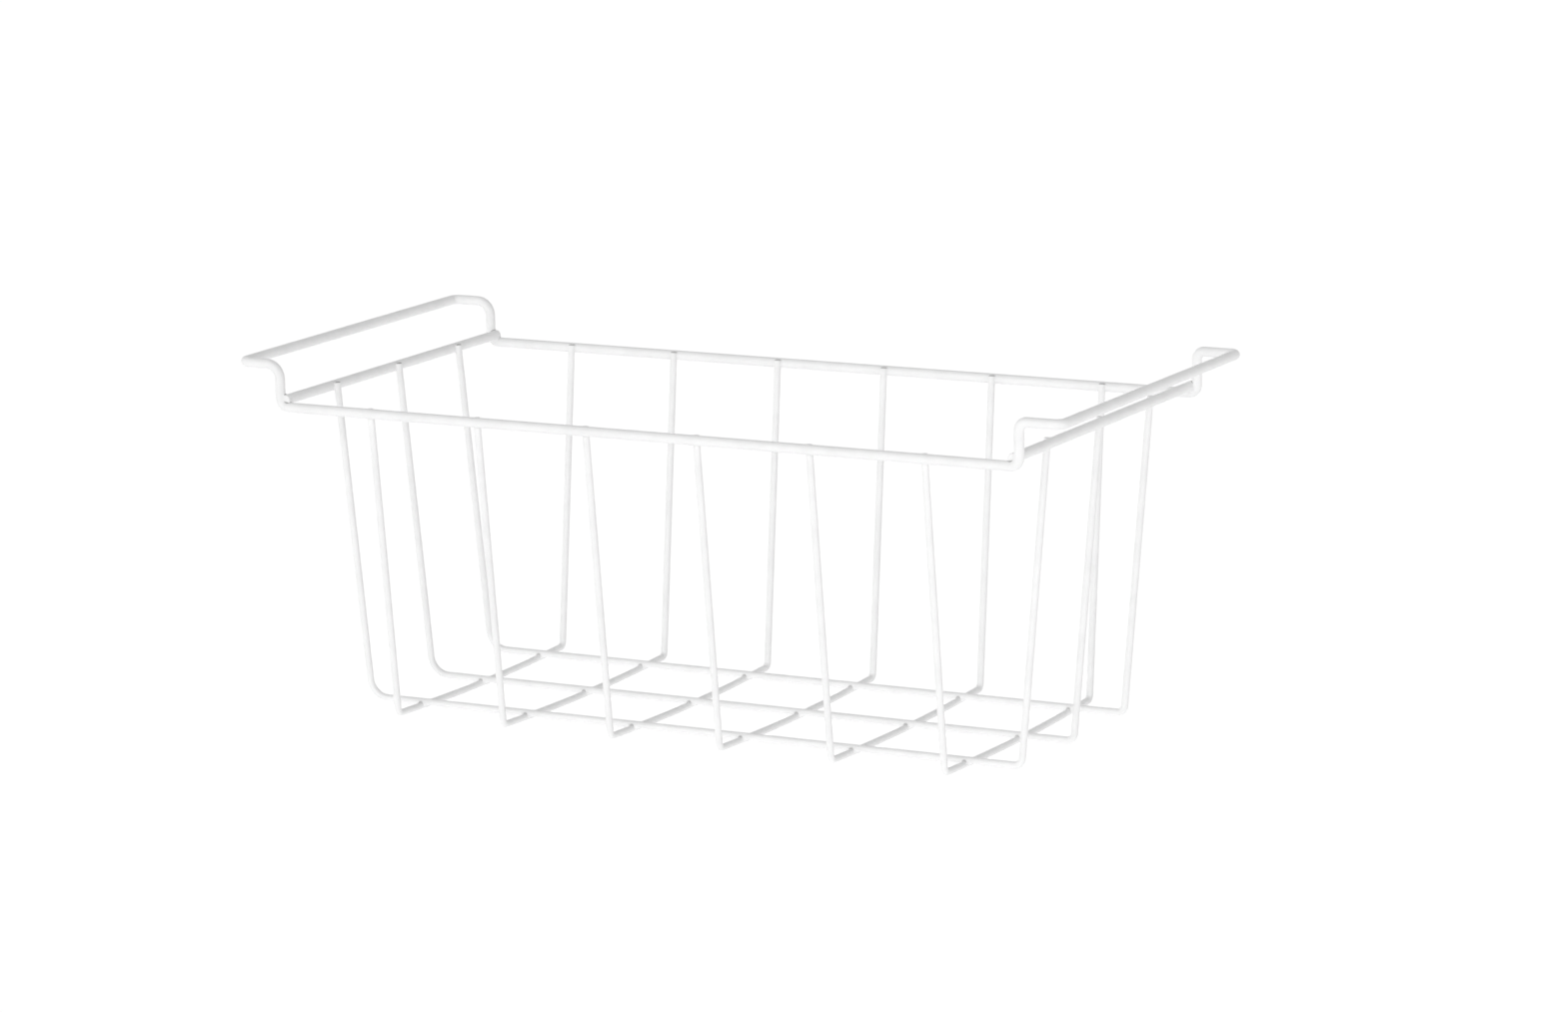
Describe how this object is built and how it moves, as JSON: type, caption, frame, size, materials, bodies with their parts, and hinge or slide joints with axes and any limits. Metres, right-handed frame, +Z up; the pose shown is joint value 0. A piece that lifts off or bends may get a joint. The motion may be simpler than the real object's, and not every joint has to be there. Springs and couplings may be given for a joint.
{
  "type": "freezer basket",
  "caption": "Tapered rectangular basket of coated wire, with a heavy wire rim that is raised at both ends into hanger bars to rest on a chest freezer's ledges.",
  "frame": {"origin": "on the surface that the basket stands on, under the centre of its outline", "axes": "+X along the long side, +Y across the basket, +Z up out of its open top"},
  "size_m": [0.544, 0.252, 0.22],
  "materials": {
    "white_coat": "smooth satin white plastic coat over steel wire"
  },
  "bodies": {
    "root": {"rim_wire": "white_coat", "end_bar_left": "white_coat", "end_bar_right": "white_coat", "transverse_wire_1": "white_coat", "transverse_wire_2": "white_coat", "transverse_wire_3": "white_coat", "transverse_wire_4": "white_coat", "transverse_wire_5": "white_coat", "transverse_wire_6": "white_coat", "longitudinal_wire_1": "white_coat", "longitudinal_wire_2": "white_coat", "longitudinal_wire_3": "white_coat", "corner_welds": "white_coat", "rim_welds": "white_coat", "end_bar_welds": "white_coat", "floor_welds": "white_coat"}
  },
  "joints": []
}
